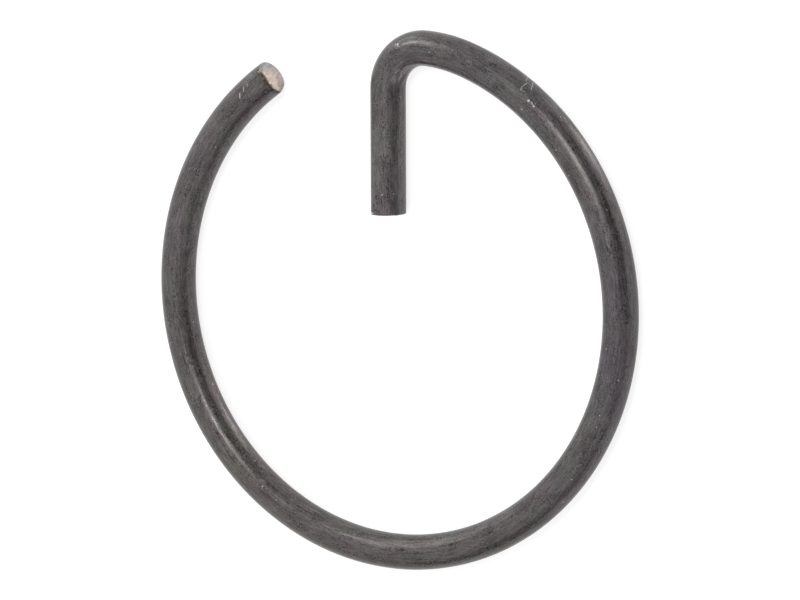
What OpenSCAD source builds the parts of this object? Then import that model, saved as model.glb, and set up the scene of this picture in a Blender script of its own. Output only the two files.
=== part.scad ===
// External retaining ring of round spring wire. The wire is coiled into an open ring
// that snaps into a groove round a shaft. One end is cut square. The other end draws in
// through a tighter shoulder and a sharp bend into a straight tang, which reaches into
// the shaft and keeps the ring from turning.
// The ring lies in the XY plane with its axis on Z, centred on the origin, and the tang
// points along -Y. All sizes are in millimetres.

/* [Wire] */
// Diameter of the drawn wire
wire_d = 2.0; // [1:0.1:4]

/* [Ring] */
// Inside diameter of the relaxed ring
ring_id = 27.0; // [20:0.5:60]
// Angle at the ring's centre from +Y, where the tang is, to the plain cut end
gap_angle = 33.5; // [20:0.5:90]
// Break on the rim of the plain cut end
end_break = 0.2; // [0.05:0.05:0.3]

/* [Shoulder and bend] */
// Inside radius of the shoulder, where the ring draws in towards the bend
shoulder_r = 8.6; // [5:0.1:13]
// Angle through which the shoulder turns
shoulder_turn = 16; // [2:1:40]
// Inside radius of the bend between the shoulder and the tang
bend_r = 1.35; // [0.5:0.05:3]

/* [Tang] */
// Reach of the tang inwards from the inside of the ring
tang_reach = 8.7; // [5:0.1:12]
// Distance of the tang's centre line from the ring's centre, towards the plain end
tang_offset = 0.35; // [0:0.05:2]
// Break on the rim of the tang's tip
tip_break = 0.15; // [0.05:0.05:0.3]

/* [Hidden] */
$fn = 96;
steel = [0.35, 0.34, 0.34];

function polar(radius, angle) = radius * [cos(angle), sin(angle)];
function to_thousandths(value) = round(value * 1000) / 1000;

// Radii of the wire's section and of its centre line
wire_r = wire_d / 2;
ring_line = ring_id / 2 + wire_r;
shoulder_line = shoulder_r + wire_r;
bend_line = bend_r + wire_r;

// The shoulder is tangent to the ring and the bend to the shoulder, so the centres of
// curvature step inwards along two radii. Together the steps have to bring the bend's
// far side onto the tang's line, and that fixes where on the ring the shoulder starts.
ring_to_shoulder = ring_line - shoulder_line;
shoulder_to_bend = shoulder_line - bend_line;
step = [ring_to_shoulder, 0] + polar(shoulder_to_bend, shoulder_turn);
bend_side = acos((bend_line - tang_offset) / norm(step));

// Angles at which the stretches start, counted from +X, from the plain end to the tang
plain_end = 90 + gap_angle;
shoulder_start = to_thousandths(bend_side - atan2(step[1], step[0]));
bend_start = shoulder_start + shoulder_turn;
tang_start = 180;

// Centres of curvature, and the tang's two ends
shoulder_centre = polar(ring_to_shoulder, shoulder_start);
bend_centre = shoulder_centre + polar(shoulder_to_bend, bend_start);
tang_top = bend_centre + polar(bend_line, tang_start);
tang_tip = [tang_top[0], ring_id / 2 - tang_reach];

// Moves by whole thousandths first and then by the rest, so that the stretches meet exactly
module place(point) {
    coarse = [for (value = point) to_thousandths(value)];
    translate(coarse)
        translate(point - coarse)
            children();
}

// A bent stretch of the wire about a centre of curvature
module bow(centre, radius, from, to) {
    place(centre)
        rotate_extrude(start = from, angle = to - from)
            translate([radius, 0])
                circle(d = wire_d);
}

// What a break takes off the rim of a wire that stands on the XY plane
module rim(size) {
    low = -size / 2;
    high = 2 * size;
    translate([0, 0, low])
        difference() {
            cylinder(h = high - low, r = wire_d);
            cylinder(h = high - low, r1 = wire_r - size + low, r2 = wire_r - size + high);
        }
}

// The coiled ring, from its plain end to the shoulder
module coil() {
    difference() {
        bow([0, 0], ring_line, plain_end, 360 + shoulder_start);
        rotate(plain_end)
            translate([ring_line, 0, 0])
                rotate([-90, 0, 0])
                    rim(end_break);
    }
}

// The straight tang, from the end of the bend to its cut tip
module tang() {
    difference() {
        place(tang_top)
            rotate([90, 0, 0])
                cylinder(h = tang_top[1] - tang_tip[1], d = wire_d);
        place(tang_tip)
            rotate([-90, 0, 0])
                rim(tip_break);
    }
}

module retaining_ring() {
    color(steel) {
        coil();
        bow(shoulder_centre, shoulder_line, shoulder_start, bend_start);
        bow(bend_centre, bend_line, bend_start, tang_start);
        tang();
    }
}

retaining_ring();
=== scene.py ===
"""External retaining ring of drawn spring wire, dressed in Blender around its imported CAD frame."""

from math import acos, atan2, ceil, cos, pi, radians, sin, tan
from typing import NamedTuple

import bpy
import numpy as np
from mathutils import Matrix, Vector


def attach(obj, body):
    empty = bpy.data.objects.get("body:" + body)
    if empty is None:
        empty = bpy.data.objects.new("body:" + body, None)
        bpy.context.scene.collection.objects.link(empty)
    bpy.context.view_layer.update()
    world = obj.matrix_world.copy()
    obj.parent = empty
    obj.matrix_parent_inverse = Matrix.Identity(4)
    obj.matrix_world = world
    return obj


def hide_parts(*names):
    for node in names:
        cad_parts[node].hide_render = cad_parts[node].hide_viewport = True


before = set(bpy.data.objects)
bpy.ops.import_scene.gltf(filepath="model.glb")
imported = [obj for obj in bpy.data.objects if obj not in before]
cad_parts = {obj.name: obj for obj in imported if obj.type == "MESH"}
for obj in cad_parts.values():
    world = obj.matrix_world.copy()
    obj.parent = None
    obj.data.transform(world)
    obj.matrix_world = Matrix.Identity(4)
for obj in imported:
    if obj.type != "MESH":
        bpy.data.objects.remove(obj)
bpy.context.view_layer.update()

bl_info = {
    "name": "Retaining Ring",
    "version": (1, 0, 0),
    "blender": (4, 5, 0),
    "location": "View3D > Sidebar > Retaining Ring",
    "description": "Forms the wire of an external retaining ring, finishes its steel and lights it",
    "category": "Object",
}

MM = 0.001
NODE = "retaining_ring"
PIECE = "formed_wire"
STRAIGHT_WIRE = "straight_wire"
SPIN_AXIS = (0.0, 0.0, -1.0)  # spin turns clockwise about its axis
NEAR = 1.2  # how far from the wire's centre line its skin is looked for, in wire radii
SLIVER = 1e-4  # overlap of two stretches in radians, so that no point falls between them
SMOOTH_ANGLE = radians(40)

# Segments of a rounded rim, and rings into which the face of a cut end is divided
RIM_SEGMENTS = 6
FACE_RINGS = 6
# Burrs on the rims of the cut ends: the angle round the wire in degrees, from outwards to upwards, and the height
PLAIN_BURRS = ((48, 0.8), (66, 1.2), (84, 0.7), (97, 1.4), (112, 1.0), (131, 1.3), (148, 0.8))
TIP_BURRS = ((52, 0.5), (150, 0.4))
BURR_REACH = 0.13 * MM
TIP_REACH = 1.1  # how much of the tang's tip is set off square, in wire radii
# The corner of the plain end that the shear has drawn back, and its reach in wire radii
ROLL_OVER_SIDE = radians(203)
ROLL_OVER_REACH = 0.6
# A face of a cut end is sheared steel from this slope, and from the lower slope on its outer and lower rim
FACE_SLOPE = 0.7
RIM_SLOPE = 0.2
OUTER_RIM = 0.4  # in wire radii
# The dent that the bending former has left: along the wire and round it, its direction and its reach
FORMER_SPOT = (83.81 * MM, radians(184.5))
FORMER_PUSH = Vector((-1.0, 0.2, 0.0))
FORMER_REACH = 0.3 * MM
# Painted light on the inner side of the bend, lightening the dark reflection there: its angle round the wire, half
# widths and lightness
PAINTED_LIGHT_SIDE = radians(140)
PAINTED_LIGHT_WIDTH = (0.1, 0.5)
PAINTED_LIGHT_GAIN = 2.0
# Where the bend's finish begins and ends along the wire, in millimetres
BEND_BEGINS = (78.5, 80.5)
BEND_ENDS = (83.2, 84.4)
BEND_POLISH = 0.09

# Marks in the skin laid flat: two ends, each along the wire in millimetres and round it in radians, then the width
# and the depth
BRIGHT_MARKS = (
    ((73.81, 0.995), (73.89, 0.838), 0.030, 0.55),
    ((73.89, 0.838), (73.89, 0.419), 0.026, 0.50),
    ((73.45, 0.550), (73.77, 0.000), 0.026, 0.45),
    ((74.05, 0.262), (74.33, -0.366), 0.022, 0.40),
    ((72.93, 1.073), (72.65, 1.152), 0.024, 0.60),
    ((73.09, 1.126), (73.07, 1.140), 0.080, 0.60),
    ((72.65, 1.152), (72.64, 1.157), 0.045, 0.70),
    ((72.69, 0.969), (72.70, 0.974), 0.045, 0.50),
    ((73.13, 1.780), (73.05, 1.780), 0.040, 0.55),
    ((1.49, 1.230), (1.61, 1.414), 0.036, 0.55),
    ((1.17, 1.230), (1.25, 1.361), 0.030, 0.40),
    ((1.89, 1.361), (2.05, 1.571), 0.045, 0.60),
    ((81.69, 1.021), (81.69, 1.178), 0.034, 0.55),
    ((81.81, 0.995), (81.80, 1.000), 0.045, 0.45),
    ((91.41, 0.58), (91.41, 1.05), 0.050, 0.9),
    ((0.22, 1.02), (0.21, 1.06), 0.050, 0.8),
)
DARK_MARKS = (
    ((82.41, 2.566), (82.45, 2.650), 0.045, 0.6),
    ((82.17, 2.592), (82.19, 2.680), 0.045, 0.5),
    ((83.81, 3.200), (83.81, 3.240), 0.090, 0.8),
)
# Lightness and warmth of the skin's tone at lengths along the wire, in millimetres
LIGHTNESS = (
    (0, 0.89),
    (12, 0.91),
    (26, 0.90),
    (36, 0.83),
    (48, 0.88),
    (59, 0.82),
    (68, 0.87),
    (76, 0.83),
    (83, 0.84),
    (87, 1.0),
    (91, 1.0),
)
WARMTH = (
    (0, 0.5),
    (16, 0.5),
    (22, 0.95),
    (40, 0.8),
    (50, 0.4),
    (60, 0.05),
    (68, 0.6),
    (76, 0.25),
    (84, 0.5),
    (91, 0.4),
)
# Tints of the oil film on the skin
PURPLE_FILM = (1.035, 0.98, 1.035, 1.0)
GREEN_FILM = (0.97, 1.02, 0.965, 1.0)


class Cloud(NamedTuple):
    """Noise on the skin: its cells to the millimetre along the wire and across it, and its detail."""

    along: float
    across: float
    detail: float
    roughness: float
    distortion: float = 0.0


class Flecks(NamedTuple):
    """Scattered dots: their spacing and size in millimetres, the share that is kept, and their depth."""

    spacing: float
    size: float
    kept: float
    depth: float


DRAW_LINES = Cloud(0.6, 8.0, 4.0, 0.65)
DASHES = Cloud(2.6, 17.0, 2.0, 0.7)
MOTTLE = Cloud(0.8, 1.4, 5.0, 0.62, 0.4)
GRAIN = Cloud(10.0, 13.0, 2.0, 0.8)
ROUGH_SPOTS = Cloud(1.1, 1.8, 2.0, 0.6)
OIL_STREAKS = Cloud(0.5, 2.6, 3.0, 0.6)
OIL_FILM = Cloud(0.45, 1.1, 2.0, 0.55)
RUST_PATCHES = Cloud(4.0, 4.0, 3.0, 0.7)
SHEAR_MOTTLE = Cloud(2.2, 2.2, 4.0, 0.65)
PITS = Flecks(0.42, 0.06, 0.35, 0.5)
NICKS = Flecks(0.7, 0.055, 0.5, 0.45)
GRIT = Flecks(0.26, 0.085, 0.45, 1.0)
# Steps aside in the noise, so that two patterns don't fall together
FILM_STEP = (5.3, 2.1, 7.7)
NICK_STEP = (3.7, 1.3, 5.1)
# Parts of the noise that a pattern uses, from its least to its most
MID_NOISE = (0.3, 0.7)
LINE_NOISE = (0.28, 0.72)
ROUGH_NOISE = (0.4, 0.66)
OIL_NOISE = (0.58, 0.7)
RUST_NOISE = (0.42, 0.58)
# How far each pattern lightens and darkens the steel
LINE_DEPTH = 0.24
DASH_DEPTH = 0.26
MOTTLE_DEPTH = 0.17
GRAIN_DEPTH = (0.12, 0.62)  # in smooth spots and in rough ones
OIL_DEPTH = 0.55
STREAK_DEPTH = 0.2
SHEAR_MOTTLE_DEPTH = 0.16
# How far the patterns dull and polish the steel
MOTTLE_GLOSS = (-0.05, 0.06)
GRAIN_GLOSS = 0.1
SHEAR_GLOSS = (0.42, 0.58)
# Share of the grain in the relief, strength of the relief, and depth of the torn streaks beside the draw lines
GRAIN_RELIEF = 0.5
BUMP_STRENGTH = 0.5
SHEAR_BUMP_STRENGTH = 0.6
STREAK_RELIEF = 3.0
# Turn of the streaks about the wire, and their cells to the millimetre along, outwards and upwards
STREAK_TURN = radians(-12)
STREAK_CELLS = (1.0, 9.0, 1.8)
# Where rust fades along the wire, in millimetres
RUST_REACH = (0.2, 0.5)
# Shares of the reach from the middle of a cut end, outwards or upwards, at which its zones begin and end
FAR_RIM = (0.74, 0.92)
LOWER_HALF = (0.2, -0.1)
RUBBED_SIDE = (0.25, 0.6)
BROKEN_SIDE = (0.1, -0.5)
GRITTY_SIDE = (0.35, 0.85)
SMEARED_RIM = (0.66, 0.82)
SMEAR_ENDS = (0.45, 0.2)
SMEAR_DEPTH = 0.9
# How ragged the zones' edges are
ZONE_EDGE = 0.25
SMEAR_EDGE = 0.4
# Lamps round the ring: azimuth, elevation, width and height in degrees, and the brightness of the face
LAMP_DISTANCE = 0.3
LAMPS = {
    "key": (57.5, 63.5, 9.5, 15.0, 17.0),
    "left_softbox": (136.0, 11.0, 33.0, 20.0, 1.6),
    "upper_left": (130.0, 36.0, 22.0, 11.0, 5.4),
    "table_light": (50.0, -36.0, 9.0, 30.0, 6.6),
}
# The white room, and its darker sides: azimuth, elevation, half widths of the core and to the edge, and the loss
ROOM = 1.0
DARK_SIDES = (
    (35.0, 38.0, 25.0, 50.0, 0.75),
    (265.0, 6.0, 12.0, 35.0, 0.95),
    (315.0, 6.0, 12.0, 35.0, 0.50),
    (5.0, 6.0, 12.0, 35.0, 0.40),
)
FLOOR_SIZE = 8.0
SEEN_RAYS = ("Is Camera Ray", "Is Glossy Ray", "Is Transmission Ray")
PICTURE_WIDTH = 36.0  # in millimetres
CLIP = (0.01, 10.0)


class Stretch(NamedTuple):
    """A bent stretch of the wire: its centre of curvature, the radius of its centre line, and its angles."""

    centre: Vector
    radius: float
    start: float
    turn: float


class WireSizes(bpy.types.PropertyGroup):
    """Sizes of the formed wire, to its centre line"""

    wire_radius: bpy.props.FloatProperty(
        name="Wire radius",
        description="Radius of the drawn wire",
        default=1.0 * MM,
        min=0.0001,
        precision=5,
        unit="LENGTH",
    )
    ring_radius: bpy.props.FloatProperty(
        name="Ring radius",
        description="Radius of the ring",
        default=14.5 * MM,
        min=0.001,
        precision=5,
        unit="LENGTH",
    )
    gap_angle: bpy.props.FloatProperty(
        name="Gap angle",
        description="Angle at the ring's centre from the tang to the plain end",
        default=radians(33.15),
        subtype="ANGLE",
    )
    shoulder_radius: bpy.props.FloatProperty(
        name="Shoulder radius",
        description="Radius of the shoulder that draws the ring in towards the bend",
        default=9.6 * MM,
        precision=5,
        unit="LENGTH",
    )
    shoulder_turn: bpy.props.FloatProperty(
        name="Shoulder turn",
        description="Angle through which the shoulder turns",
        default=radians(16),
        subtype="ANGLE",
    )
    bend_radius: bpy.props.FloatProperty(
        name="Bend radius",
        description="Radius of the bend into the tang",
        default=2.35 * MM,
        precision=5,
        unit="LENGTH",
    )
    tang_offset: bpy.props.FloatProperty(
        name="Tang offset",
        description="Distance of the tang from the ring's centre, towards the plain end",
        default=0.35 * MM,
        precision=5,
        unit="LENGTH",
    )
    tang_reach: bpy.props.FloatProperty(
        name="Tang reach",
        description="Reach of the tang inwards from the inside of the ring",
        default=8.75 * MM,
        precision=5,
        unit="LENGTH",
    )
    sides: bpy.props.IntProperty(
        name="Sides",
        description="Edges round the wire's section",
        default=72,
        min=12,
    )
    spacing: bpy.props.FloatProperty(
        name="Spacing",
        description="Longest step along the wire between two sections",
        default=0.24 * MM,
        precision=6,
        unit="LENGTH",
    )
    end_rim: bpy.props.FloatProperty(
        name="End rim",
        description="Rounding on the rim of the plain end",
        default=0.2 * MM,
        precision=6,
        unit="LENGTH",
    )
    tip_rim: bpy.props.FloatProperty(
        name="Tip rim",
        description="Rounding on the rim of the tang's tip",
        default=0.07 * MM,
        precision=6,
        unit="LENGTH",
    )
    roll_over: bpy.props.FloatProperty(
        name="Roll-over",
        description="How far the shear has drawn one corner of the plain end back along the wire",
        default=0.14 * MM,
        precision=6,
        unit="LENGTH",
    )
    burr: bpy.props.FloatProperty(
        name="Burr",
        description="Height of the burrs that the shear has left on the rims",
        default=0.05 * MM,
        precision=6,
        unit="LENGTH",
    )
    former_mark: bpy.props.FloatProperty(
        name="Former mark",
        description="Depth of the dent that the bending former has left inside the bend",
        default=0.05 * MM,
        precision=6,
        unit="LENGTH",
    )
    tip_slant: bpy.props.FloatProperty(
        name="Tip slant",
        description="Angle by which the tang's tip is off square",
        default=radians(1.5),
        subtype="ANGLE",
    )


def colour(name, description, default):
    return bpy.props.FloatVectorProperty(
        name=name, description=description, default=default, size=3, min=0.0, max=1.0, subtype="COLOR"
    )


def share(name, description, default):
    return bpy.props.FloatProperty(
        name=name, description=description, default=default, min=0.0, max=1.0, subtype="FACTOR"
    )


class WireFinish(bpy.types.PropertyGroup):
    """Colours and gloss of the drawn steel and of its sheared ends"""

    warm: colour("Warm", "Brownish tone of the drawn skin", (0.1235, 0.112, 0.1066))
    cool: colour("Cool", "Bluish tone of the drawn skin", (0.1192, 0.1105, 0.1177))
    oil: colour("Oil", "Dark streaks where oil has dried on the skin", (0.095, 0.075, 0.071))
    bare: colour("Bare", "Bright steel in scratches and nicks", (0.75, 0.73, 0.71))
    pit: colour("Pit", "Dark bottom of pits and dents", (0.03, 0.028, 0.028))
    rust: colour("Rust", "Brown bloom at the rim of the sheared end", (0.075, 0.048, 0.036))
    shear: colour("Shear", "Sheared steel of the cut ends", (0.43, 0.365, 0.315))
    torn: colour("Torn", "Duller steel where the wire has broken off", (0.335, 0.28, 0.265))
    rubbed: colour("Rubbed", "Grey steel where the shear has rubbed the rim", (0.29, 0.275, 0.262))
    metallic: share("Metallic", "Share of the skin that reflects as bare metal", 0.68)
    roughness: share("Roughness", "Roughness of the drawn skin", 0.34)
    shear_metallic: share("Shear metallic", "Share of the sheared faces that reflects as bare metal", 0.7)
    specular: share("Specular", "Strength of the reflection on top of the metal", 0.25)
    relief: bpy.props.FloatProperty(
        name="Relief",
        description="Depth of the draw lines",
        default=0.004 * MM,
        precision=7,
        unit="LENGTH",
    )


class StageLook(bpy.types.PropertyGroup):
    """Camera, lamps and floor"""

    camera_azimuth: bpy.props.FloatProperty(
        name="Camera azimuth",
        description="Direction of the camera from +X towards +Y",
        default=radians(16.2),
        subtype="ANGLE",
    )
    camera_elevation: bpy.props.FloatProperty(
        name="Camera elevation",
        description="Height of the camera above the horizon",
        default=radians(58.05),
        subtype="ANGLE",
    )
    camera_roll: bpy.props.FloatProperty(
        name="Camera roll",
        description="Turn of the camera about its line of sight",
        default=radians(-104.1),
        subtype="ANGLE",
    )
    camera_distance: bpy.props.FloatProperty(
        name="Camera distance",
        description="Distance of the camera from the ring's centre",
        default=303.1 * MM,
        unit="LENGTH",
    )
    camera_lens: bpy.props.FloatProperty(
        name="Lens",
        description="Focal length on a 36 mm wide picture",
        default=242.3,
        subtype="DISTANCE_CAMERA",
    )
    aim_right: bpy.props.FloatProperty(
        name="Aim right",
        description="How far the camera is moved to its right",
        default=0.319 * MM,
        precision=6,
        unit="LENGTH",
    )
    aim_up: bpy.props.FloatProperty(
        name="Aim up",
        description="How far the camera is moved upwards in the picture",
        default=-0.117 * MM,
        precision=6,
        unit="LENGTH",
    )
    floor: bpy.props.FloatVectorProperty(
        name="Floor",
        description="Colour of the floor",
        default=(0.36, 0.36, 0.36),
        size=3,
        min=0.0,
        max=1.0,
        subtype="COLOR",
    )
    floor_glow: bpy.props.FloatProperty(
        name="Floor glow",
        description="White that the floor shows to the camera and in the steel, on top of its lit colour",
        default=0.8,
        min=0.0,
        max=1.0,
        subtype="FACTOR",
    )


def polar(radius, angle):
    return Vector((radius * cos(angle), radius * sin(angle), 0.0))


def bent_stretches(sizes):
    """The ring, the shoulder and the bend, in order from the plain end, each tangent to the one before."""
    ring_to_shoulder = sizes.ring_radius - sizes.shoulder_radius
    shoulder_to_bend = sizes.shoulder_radius - sizes.bend_radius
    step = Vector((ring_to_shoulder, 0.0, 0.0)) + polar(shoulder_to_bend, sizes.shoulder_turn)
    bend_side = acos((sizes.bend_radius - sizes.tang_offset) / step.length)
    plain_end = pi / 2 + sizes.gap_angle
    shoulder_start = bend_side - atan2(step.y, step.x)
    bend_start = shoulder_start + sizes.shoulder_turn
    shoulder_centre = polar(ring_to_shoulder, shoulder_start)
    bend_centre = shoulder_centre + polar(shoulder_to_bend, bend_start)
    ring_turn = 2 * pi + shoulder_start - plain_end
    return (
        Stretch(Vector((0.0, 0.0, 0.0)), sizes.ring_radius, plain_end, ring_turn),
        Stretch(shoulder_centre, sizes.shoulder_radius, shoulder_start, sizes.shoulder_turn),
        Stretch(bend_centre, sizes.bend_radius, bend_start, pi - bend_start),
    )


def tang_run(sizes):
    """Where the straight tang begins, and how long it is."""
    bend = bent_stretches(sizes)[-1]
    top = bend.centre + polar(bend.radius, bend.start + bend.turn)
    tip = sizes.ring_radius - sizes.wire_radius - sizes.tang_reach
    return top, top.y - tip


def form_wire(sizes):
    """Bends the wire's section round the ring, the shoulder and the bend, and draws it out into the tang."""
    stretches = bent_stretches(sizes)
    ring = stretches[0]
    bpy.ops.object.select_all(action="DESELECT")
    bpy.ops.mesh.primitive_circle_add(
        vertices=sizes.sides,
        radius=sizes.wire_radius,
        location=polar(ring.radius, ring.start),
        rotation=(pi / 2, 0.0, ring.start),
    )
    wire = bpy.context.object
    wire.name = wire.data.name = PIECE
    bpy.ops.object.transform_apply(location=True, rotation=True, scale=True)
    bpy.ops.object.mode_set(mode="EDIT")
    bpy.ops.mesh.select_all(action="SELECT")
    for stretch in stretches:
        bpy.ops.mesh.spin(
            steps=ceil(stretch.turn * stretch.radius / sizes.spacing),
            angle=stretch.turn,
            center=stretch.centre,
            axis=SPIN_AXIS,
        )
    length = tang_run(sizes)[1]
    steps = ceil(length / sizes.spacing)
    for _ in range(steps):
        bpy.ops.mesh.extrude_region_move(TRANSFORM_OT_translate={"value": (0.0, -length / steps, 0.0)})
    bpy.ops.mesh.edge_face_add()
    bpy.ops.mesh.select_all(action="DESELECT")
    bpy.ops.mesh.select_non_manifold()
    bpy.ops.mesh.edge_face_add()
    bpy.ops.mesh.select_all(action="SELECT")
    bpy.ops.mesh.normals_make_consistent(inside=False)
    bpy.ops.object.mode_set(mode="OBJECT")
    return wire


def on_wire(sizes, along, around):
    """The point of the skin at a length along the wire and an angle round it, from outwards to upwards."""
    place, outwards = None, None
    for stretch in bent_stretches(sizes):
        length = stretch.radius * stretch.turn
        if along <= length:
            outwards = polar(1.0, stretch.start + along / stretch.radius)
            place = stretch.centre + stretch.radius * outwards
            break
        along -= length
    if place is None:
        top = tang_run(sizes)[0]
        place, outwards = top - Vector((0.0, along, 0.0)), Vector((-1.0, 0.0, 0.0))
    upwards = Vector((0.0, 0.0, 1.0))
    return place + sizes.wire_radius * (cos(around) * outwards + sin(around) * upwards)


def cut_ends(sizes):
    """The plain end and the tang's tip, each with its middle and the direction it faces."""
    ring = bent_stretches(sizes)[0]
    top, length = tang_run(sizes)
    plain = polar(ring.radius, ring.start), polar(-1.0, ring.start + pi / 2)
    tip = top - Vector((0.0, length, 0.0)), Vector((0.0, -1.0, 0.0))
    return plain, tip


def pick(wire, kind, test):
    """Selects in edit mode only the vertices or faces that pass the test."""
    bpy.ops.object.mode_set(mode="EDIT")
    bpy.ops.mesh.select_mode(type=kind)
    bpy.ops.mesh.select_all(action="DESELECT")
    bpy.ops.object.mode_set(mode="OBJECT")
    elements = wire.data.vertices if kind == "VERT" else wire.data.polygons
    for element in elements:
        element.select = test(element)
    bpy.ops.object.mode_set(mode="EDIT")


def dress_end(wire, sizes, middle, rim):
    """Rounds the rim of a cut end, and divides its face into rings that take the marks of the shear."""

    def is_face(face):
        return len(face.vertices) == sizes.sides and (face.center - middle).length < sizes.wire_radius

    pick(wire, "FACE", is_face)
    bpy.ops.mesh.bevel(offset=rim, segments=RIM_SEGMENTS, profile=0.5, affect="EDGES")
    pick(wire, "FACE", is_face)
    for _ in range(FACE_RINGS):
        bpy.ops.mesh.inset(thickness=(sizes.wire_radius - rim) / (FACE_RINGS + 1))


def push(wire, spot, move, reach):
    """Moves the skin at a spot, with less and less of the skin around it."""
    nearest = min(wire.data.vertices, key=lambda vertex: (vertex.co - spot).length_squared).index
    pick(wire, "VERT", lambda vertex: vertex.index == nearest)
    bpy.ops.transform.translate(
        value=move,
        use_proportional_edit=True,
        use_proportional_connected=True,
        proportional_edit_falloff="SMOOTH",
        proportional_size=reach,
    )
    bpy.ops.object.mode_set(mode="OBJECT")


def shear_ends(wire, sizes):
    """Rounds the cut ends, sets the tang's tip off square, and leaves the roll-over and the burrs of the shear."""
    (plain, plain_facing), (tip, tip_facing) = cut_ends(sizes)
    dress_end(wire, sizes, plain, sizes.end_rim)
    dress_end(wire, sizes, tip, sizes.tip_rim)
    pick(wire, "VERT", lambda vertex: (vertex.co - tip).length < TIP_REACH * sizes.wire_radius)
    bpy.ops.transform.rotate(value=-sizes.tip_slant, orient_axis="Z", center_override=tip)
    bpy.ops.object.mode_set(mode="OBJECT")
    corner = on_wire(sizes, 0.0, ROLL_OVER_SIDE)
    push(wire, corner, -sizes.roll_over * plain_facing, ROLL_OVER_REACH * sizes.wire_radius)
    for around, height in PLAIN_BURRS:
        spot = on_wire(sizes, 0.5 * sizes.end_rim, radians(around))
        push(wire, spot, height * sizes.burr * plain_facing, BURR_REACH)
    for around, height in TIP_BURRS:
        spot = on_wire(sizes, wire_length(sizes), radians(around))
        push(wire, spot, height * sizes.burr * tip_facing, BURR_REACH)


def wire_length(sizes):
    bends = sum(stretch.radius * stretch.turn for stretch in bent_stretches(sizes))
    return bends + tang_run(sizes)[1]


def straighten(points, sizes):
    """Each point's place on the straight wire: along it from the plain end, outwards and upwards."""
    straight = np.zeros_like(points)
    straight[:, 2] = points[:, 2]
    along = 0.0
    for stretch in bent_stretches(sizes):
        arm = points - np.array(stretch.centre)
        angle = np.arctan2(arm[:, 1], arm[:, 0]) - stretch.start
        slack = (2 * pi - stretch.turn) / 2
        angle = (angle + slack) % (2 * pi) - slack
        inside = (angle > (-SLIVER if along else -slack)) & (angle <= stretch.turn + SLIVER)
        outwards = np.hypot(arm[:, 0], arm[:, 1]) - stretch.radius
        inside &= np.abs(outwards) < NEAR * sizes.wire_radius
        straight[inside, 0] = along + angle[inside] * stretch.radius
        straight[inside, 1] = outwards[inside]
        along += stretch.turn * stretch.radius
    top, _ = tang_run(sizes)
    inside = (np.abs(points[:, 0] - top.x) < NEAR * sizes.wire_radius) & (points[:, 1] < top.y)
    inside &= points[:, 1] > 0.0
    straight[inside, 0] = along + top.y - points[inside, 1]
    straight[inside, 1] = top.x - points[inside, 0]
    return straight


def mark_straight_wire(wire, sizes):
    """Keeps each point's place on the straight wire, in millimetres, for the finish to follow."""
    mesh = wire.data
    points = np.zeros(len(mesh.vertices) * 3)
    mesh.vertices.foreach_get("co", points)
    straight = straighten(points.reshape(-1, 3), sizes) / MM
    mark = mesh.attributes.new(STRAIGHT_WIRE, "FLOAT_VECTOR", "POINT")
    mark.data.foreach_set("vector", straight.astype(np.float32).ravel())


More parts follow.
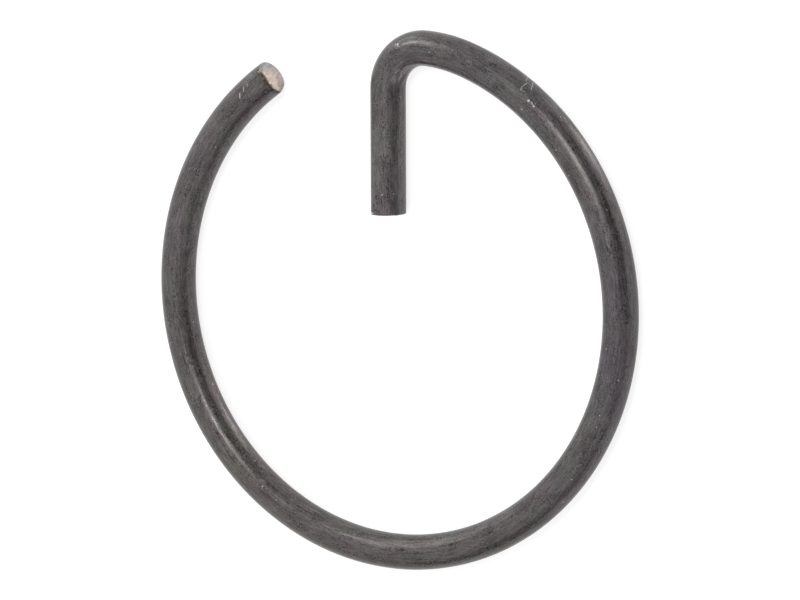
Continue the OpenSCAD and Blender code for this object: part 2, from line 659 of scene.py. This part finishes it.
class Nodes:
    """Builds the nodes of one material or world, which ends in the named shader."""

    def __init__(self, owner, shader="Principled BSDF"):
        owner.use_nodes = True
        self.tree = owner.node_tree
        self.shader = self.tree.nodes[shader]

    def feed(self, socket, value):
        """Links an output to a socket, or sets the socket to a plain value."""
        if isinstance(value, bpy.types.NodeSocket):
            self.tree.links.new(value, socket)
        else:
            socket.default_value = value

    def feed_shader(self, **values):
        """Feeds the shader's sockets, which are named with underscores for their spaces."""
        for name, value in values.items():
            self.feed(self.shader.inputs[name.replace("_", " ")], value)

    def add(self, kind, inputs, output=0, **settings):
        """Adds a node, feeds its inputs by name or number, and gives back one of its outputs."""
        node = self.tree.nodes.new("ShaderNode" + kind)
        for name, value in settings.items():
            setattr(node, name, value)
        for socket, value in inputs.items():
            self.feed(node.inputs[socket], value)
        return node.outputs[output]

    def math(self, operation, *values):
        return self.add("Math", dict(enumerate(values)), operation=operation)

    def vector(self, operation, *values, output=0):
        return self.add("VectorMath", dict(enumerate(values)), output, operation=operation)

    def parts(self, vector):
        """The three numbers of a vector."""
        return self.add("SeparateXYZ", {0: vector}).node.outputs

    def product(self, *values):
        total = values[0]
        for value in values[1:]:
            total = self.math("MULTIPLY", total, value)
        return total

    def sum_of(self, *values):
        total = values[0]
        for value in values[1:]:
            total = self.math("ADD", total, value)
        return total

    def any_of(self, masks):
        """The strongest of several masks."""
        strongest = masks[0]
        for mask in masks[1:]:
            strongest = self.math("MAXIMUM", strongest, mask)
        return strongest

    def clamp(self, value):
        return self.add("Clamp", {"Value": value})

    def scaled(self, vector, scale):
        return self.add("VectorMath", {0: vector, "Scale": scale}, operation="SCALE")

    def blend(self, factor, first, second, kind="MIX"):
        return self.add("Mix", {0: factor, 6: first, 7: second}, 2, data_type="RGBA", blend_type=kind)

    def spread(self, value, start, end, low=0.0, high=1.0):
        """Spreads a value from start to end over low to high, and holds it there beyond."""
        ends = {"Value": value, "From Min": start, "From Max": end, "To Min": low, "To Max": high}
        return self.add("MapRange", ends, interpolation_type="SMOOTHSTEP")

    def ramp(self, value, stops):
        """Runs smoothly through the values at the stops."""
        reach = stops[-1][0]
        output = self.add("ValToRGB", {0: self.math("DIVIDE", value, float(reach))})
        elements = output.node.color_ramp.elements
        elements.remove(elements[1])
        for number, (stop, level) in enumerate(stops):
            element = elements.new(stop / reach) if number else elements[0]
            element.position = stop / reach
            element.color = (level, level, level, 1.0)
        output.node.color_ramp.interpolation = "EASE"
        return output

    def noise(self, place, cloud):
        stretched = self.vector("MULTIPLY", place, (cloud.along, cloud.across, cloud.across))
        inputs = {"Vector": stretched, "Scale": 1.0, "Detail": cloud.detail}
        inputs.update({"Roughness": cloud.roughness, "Distortion": cloud.distortion})
        return self.add("TexNoise", inputs)

    def swing(self, noise, depth, used=MID_NOISE):
        """Spreads noise as far below nothing as above it."""
        return self.spread(noise, *used, -depth, depth)

    def flecks(self, place, dots):
        cells = {"Vector": place, "Scale": 1.0 / dots.spacing}
        near = self.add("TexVoronoi", cells, "Distance")
        chance = self.add("SeparateColor", {"Color": self.add("TexVoronoi", cells, "Color")})
        size = dots.size / dots.spacing
        dot = self.spread(near, 0.6 * size, size, 1.0, 0.0)
        return self.product(dot, self.math("LESS_THAN", chance, dots.kept), dots.depth)

    def stroke(self, skin, start, end, width, depth):
        """A fine line between two points of the unrolled skin."""
        run = Vector((*end, 0.0)) - Vector((*start, 0.0))
        arm = self.vector("SUBTRACT", skin, (*start, 0.0))
        along = self.vector("DOT_PRODUCT", arm, run / run.length_squared, output="Value")
        foot = self.scaled(run, self.clamp(along))
        far = self.vector("DISTANCE", arm, foot, output="Value")
        return self.spread(far, 0.4 * width, width, depth, 0.0)


def opaque(rgb):
    return (*rgb, 1.0)


def wire_place(steel):
    """The place on the straight wire, in millimetres: along it, outwards and upwards."""
    return steel.add("Attribute", {}, "Vector", attribute_name=STRAIGHT_WIRE)


def skin_tone(steel, finish, place, along):
    """Colour of the skin: warmer and cooler along the wire, under an oil film with dried streaks."""
    tone = steel.blend(steel.ramp(along, WARMTH), opaque(finish.cool), opaque(finish.warm))
    film = steel.spread(steel.noise(steel.vector("ADD", place, FILM_STEP), OIL_FILM), *MID_NOISE)
    tone = steel.blend(1.0, tone, steel.blend(film, PURPLE_FILM, GREEN_FILM), "MULTIPLY")
    oily = steel.spread(steel.noise(place, OIL_STREAKS), *OIL_NOISE, 0.0, OIL_DEPTH)
    return steel.blend(oily, tone, opaque(finish.oil))


def skin_marks(steel, finish, place, skin, tone):
    """Adds the pits, dents, scratches and nicks to the skin's colour."""
    dark = [steel.stroke(skin, *mark) for mark in DARK_MARKS] + [steel.flecks(place, PITS)]
    tone = steel.blend(steel.any_of(dark), tone, opaque(finish.pit))
    nicks = steel.flecks(steel.vector("ADD", place, NICK_STEP), NICKS)
    bright = [steel.stroke(skin, *mark) for mark in BRIGHT_MARKS] + [nicks]
    return steel.blend(steel.any_of(bright), tone, opaque(finish.bare))


def drawn_steel(finish):
    """Dark oiled wire: draw lines along it, cloudy skin, the polished bend with painted light on its inner side,
    and the marks of handling.
    """
    material = bpy.data.materials.new("drawn_spring_steel")
    steel = Nodes(material)
    place = wire_place(steel)
    along, outwards, upwards = steel.parts(place)
    around = steel.math("ARCTAN2", upwards, outwards)
    skin = steel.add("CombineXYZ", {"X": along, "Y": around})
    lines = steel.noise(place, DRAW_LINES)
    mottle = steel.noise(place, MOTTLE)
    grain = steel.noise(place, GRAIN)
    rough_spots = steel.spread(steel.noise(place, ROUGH_SPOTS), *ROUGH_NOISE, *GRAIN_DEPTH)
    shade = steel.sum_of(
        1.0,
        steel.swing(lines, LINE_DEPTH, LINE_NOISE),
        steel.swing(steel.noise(place, DASHES), DASH_DEPTH),
        steel.swing(mottle, MOTTLE_DEPTH),
        steel.product(steel.swing(grain, 1.0), rough_spots),
    )
    tone = skin_tone(steel, finish, place, along)
    tone = steel.scaled(tone, steel.product(shade, steel.ramp(along, LIGHTNESS)))
    in_bend = steel.product(steel.spread(along, *BEND_BEGINS), steel.spread(along, *BEND_ENDS, 1.0, 0.0))
    # Painted light: the inner side of the bend is lightened, standing in for light that its dark reflection lacks
    from_painted_light = steel.math("ABSOLUTE", steel.math("SUBTRACT", around, PAINTED_LIGHT_SIDE))
    painted_light_in_bend = steel.product(in_bend, steel.spread(from_painted_light, *PAINTED_LIGHT_WIDTH, 1.0, 0.0))
    tone = steel.scaled(tone, steel.spread(painted_light_in_bend, 0.0, 1.0, 1.0, PAINTED_LIGHT_GAIN))
    tone = skin_marks(steel, finish, place, skin, tone)
    patchy = steel.spread(steel.noise(place, RUST_PATCHES), *RUST_NOISE)
    bloom = steel.product(steel.spread(along, *RUST_REACH, 1.0, 0.0), patchy)
    gloss = steel.sum_of(
        finish.roughness,
        steel.spread(mottle, *MID_NOISE, *MOTTLE_GLOSS),
        steel.product(in_bend, -BEND_POLISH),
        steel.swing(grain, GRAIN_GLOSS),
    )
    relief = steel.sum_of(lines, steel.product(grain, GRAIN_RELIEF))
    steel.feed_shader(
        Base_Color=steel.blend(bloom, tone, opaque(finish.rust)),
        Metallic=finish.metallic,
        Specular_IOR_Level=finish.specular,
        Roughness=gloss,
        Normal=steel.add("Bump", {"Strength": BUMP_STRENGTH, "Distance": finish.relief, "Height": relief}),
    )
    return material


def sheared_tone(steel, finish, outwards, upwards, rough_edge):
    """Colour of a cut end: clean steel above, broken steel below, and the rim that the shear has rubbed."""
    squares = [steel.math("POWER", part, 2.0) for part in (outwards, upwards)]
    radius = steel.math("SQRT", steel.sum_of(*squares))
    far_rim = steel.product(steel.spread(radius, *FAR_RIM), steel.spread(upwards, *LOWER_HALF))
    rubbed = steel.any_of([far_rim, steel.spread(outwards, *RUBBED_SIDE)])
    rubbed = steel.clamp(steel.sum_of(rubbed, rough_edge))
    broken = steel.spread(steel.sum_of(upwards, rough_edge), *BROKEN_SIDE)
    tone = steel.blend(broken, opaque(finish.shear), opaque(finish.torn))
    return steel.blend(rubbed, tone, opaque(finish.rubbed))


def sheared_steel(finish):
    """Steel of the cut ends, torn into streaks by the shear, with grit and a smear of rust on the upper rim."""
    material = bpy.data.materials.new("sheared_steel")
    steel = Nodes(material)
    place = wire_place(steel)
    _, outwards, upwards = steel.parts(place)
    turned = steel.add("Mapping", {"Vector": place, "Rotation": (STREAK_TURN, 0.0, 0.0)})
    torn = steel.vector("MULTIPLY", turned, STREAK_CELLS)
    streaks = steel.add("TexNoise", {"Vector": torn, "Scale": 1.0, "Detail": 4.0, "Roughness": 0.65})
    mottle = steel.noise(place, SHEAR_MOTTLE)
    rough_edge = steel.swing(mottle, ZONE_EDGE)
    tone = sheared_tone(steel, finish, outwards, upwards, rough_edge)
    shade = steel.sum_of(1.0, steel.swing(streaks, STREAK_DEPTH), steel.swing(mottle, SHEAR_MOTTLE_DEPTH))
    tone = steel.scaled(tone, shade)
    grit = steel.product(steel.flecks(place, GRIT), steel.spread(upwards, *GRITTY_SIDE))
    tone = steel.blend(grit, tone, opaque(finish.rust))
    upper_rim = steel.sum_of(upwards, steel.product(rough_edge, SMEAR_EDGE))
    smear = steel.product(
        steel.spread(upper_rim, *SMEARED_RIM, 0.0, SMEAR_DEPTH), steel.spread(outwards, *SMEAR_ENDS)
    )
    bumps = {"Strength": SHEAR_BUMP_STRENGTH, "Distance": STREAK_RELIEF * finish.relief, "Height": streaks}
    steel.feed_shader(
        Base_Color=steel.blend(smear, tone, opaque(finish.rust)),
        Metallic=finish.shear_metallic,
        Specular_IOR_Level=finish.specular,
        Roughness=steel.spread(mottle, *MID_NOISE, *SHEAR_GLOSS),
        Normal=steel.add("Bump", bumps),
    )
    return material


def finish_wire(wire, sizes, finish):
    """Gives the drawn skin and the sheared faces of the cut ends their steel."""
    wire.data.materials.append(drawn_steel(finish))
    wire.data.materials.append(sheared_steel(finish))
    for middle, facing in cut_ends(sizes):
        for face in wire.data.polygons:
            arm = face.center - middle
            if arm.length > NEAR * sizes.wire_radius:
                continue
            on_rim = arm.dot(middle.normalized()) > OUTER_RIM * sizes.wire_radius or arm.z < 0.0
            if face.normal.dot(facing) > (RIM_SLOPE if on_rim else FACE_SLOPE):
                face.material_index = 1


def heading(azimuth, elevation):
    return Vector((cos(elevation) * cos(azimuth), cos(elevation) * sin(azimuth), sin(elevation)))


def add_lamp(name, azimuth, elevation, width, height, radiance):
    """A soft box that faces the ring, with the brightness that its face shows."""
    light = bpy.data.lights.new(name, "AREA")
    light.shape = "RECTANGLE"
    light.size = 2 * LAMP_DISTANCE * tan(radians(width) / 2)
    light.size_y = 2 * LAMP_DISTANCE * tan(radians(height) / 2)
    light.energy = radiance * pi * light.size * light.size_y
    # The floor would hide a lamp below it from the rays that leave the steel
    light.cycles.use_multiple_importance_sampling = elevation > 0.0
    lamp = bpy.data.objects.new(name, light)
    bpy.context.scene.collection.objects.link(lamp)
    away = heading(radians(azimuth), radians(elevation))
    lamp.location = away * LAMP_DISTANCE
    lamp.rotation_euler = away.to_track_quat("Z", "Y").to_euler()


def add_camera(look):
    data = bpy.data.cameras.new("camera")
    data.lens = look.camera_lens
    data.sensor_width = PICTURE_WIDTH
    data.clip_start, data.clip_end = CLIP
    camera = bpy.data.objects.new("camera", data)
    bpy.context.scene.collection.objects.link(camera)
    azimuth, elevation, roll = look.camera_azimuth, look.camera_elevation, look.camera_roll
    back = heading(azimuth, elevation)
    level = Vector((-sin(azimuth), cos(azimuth), 0.0))
    upright = back.cross(level)
    right = cos(roll) * level + sin(roll) * upright
    up = back.cross(right)
    place = look.aim_right * right + look.aim_up * up + look.camera_distance * back
    turned = Matrix((right, up, back)).transposed().to_4x4()
    camera.matrix_world = Matrix.Translation(place) @ turned
    bpy.context.scene.camera = camera


def white_floor(look):
    """A pale floor, which shows as white to the camera and in the steel, and keeps the ring's shadow."""
    material = bpy.data.materials.new("white_floor")
    floor = Nodes(material)
    floor.tree.nodes.remove(floor.shader)
    seen = floor.any_of([floor.add("LightPath", {}, ray) for ray in SEEN_RAYS])
    glow = floor.add("Emission", {"Strength": floor.product(seen, look.floor_glow)})
    lit = floor.add("BsdfDiffuse", {"Color": opaque(look.floor)})
    surface = floor.tree.nodes["Material Output"].inputs["Surface"]
    floor.feed(surface, floor.add("AddShader", {0: lit, 1: glow}))
    return material


def light_world():
    """A white room with darker sides."""
    world = bpy.data.worlds.new("studio")
    bpy.context.scene.world = world
    room = Nodes(world, "Background")
    world.cycles.sampling_method = "NONE"
    towards = room.add("TexCoord", {}, "Generated")
    level = ROOM
    for azimuth, elevation, core, edge, loss in DARK_SIDES:
        side = heading(radians(azimuth), radians(elevation))
        facing = room.vector("DOT_PRODUCT", towards, side, output="Value")
        shade = room.spread(facing, cos(radians(edge)), cos(radians(core)), 0.0, loss)
        level = room.math("SUBTRACT", level, shade)
    room.feed_shader(Color=(1.0, 1.0, 1.0, 1.0), Strength=room.math("MAXIMUM", 0.0, level))


class RING_OT_form_wire(bpy.types.Operator):
    """Form the wire of the retaining ring and finish its steel"""

    bl_idname = "retaining_ring.form_wire"
    bl_label = "Form Wire"

    def execute(self, context):
        sizes = context.scene.retaining_ring_sizes
        wire = form_wire(sizes)
        shear_ends(wire, sizes)
        push(wire, on_wire(sizes, *FORMER_SPOT), sizes.former_mark * FORMER_PUSH, FORMER_REACH)
        mark_straight_wire(wire, sizes)
        finish_wire(wire, sizes, context.scene.retaining_ring_finish)
        bpy.ops.object.shade_smooth_by_angle(angle=SMOOTH_ANGLE)
        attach(wire, "root")
        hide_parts(NODE)
        return {"FINISHED"}


class RING_OT_set_stage(bpy.types.Operator):
    """Set the camera, the lamps and the white floor"""

    bl_idname = "retaining_ring.set_stage"
    bl_label = "Set Stage"

    def execute(self, context):
        look = context.scene.retaining_ring_stage
        add_camera(look)
        bpy.ops.object.select_all(action="DESELECT")
        level = -context.scene.retaining_ring_sizes.wire_radius
        bpy.ops.mesh.primitive_plane_add(size=FLOOR_SIZE, location=(0.0, 0.0, level))
        floor = context.object
        floor.name = floor.data.name = "floor"
        floor.data.materials.append(white_floor(look))
        floor.visible_shadow = False  # it lets the light of the lamp below it through
        for name, lamp in LAMPS.items():
            add_lamp(name, *lamp)
        light_world()
        context.scene.view_settings.view_transform = "Standard"
        return {"FINISHED"}


class RING_PT_sidebar(bpy.types.Panel):
    """Lists the steps that dress the retaining ring"""

    bl_idname = "RING_PT_sidebar"
    bl_label = "Retaining Ring"
    bl_space_type = "VIEW_3D"
    bl_region_type = "UI"
    bl_category = "Retaining Ring"

    def draw(self, context):
        for operator in OPERATORS:
            self.layout.operator(operator.bl_idname)


OPERATORS = (RING_OT_form_wire, RING_OT_set_stage)
GROUPS = {
    "retaining_ring_sizes": WireSizes,
    "retaining_ring_finish": WireFinish,
    "retaining_ring_stage": StageLook,
}


def register():
    for kind in (*GROUPS.values(), *OPERATORS, RING_PT_sidebar):
        bpy.utils.register_class(kind)
    for name, group in GROUPS.items():
        setattr(bpy.types.Scene, name, bpy.props.PointerProperty(type=group))


def unregister():
    for name in GROUPS:
        delattr(bpy.types.Scene, name)
    for kind in (RING_PT_sidebar, *OPERATORS, *GROUPS.values()):
        bpy.utils.unregister_class(kind)


def main():
    register()
    bpy.ops.retaining_ring.form_wire()
    bpy.ops.retaining_ring.set_stage()


if __name__ == "__main__":
    main()
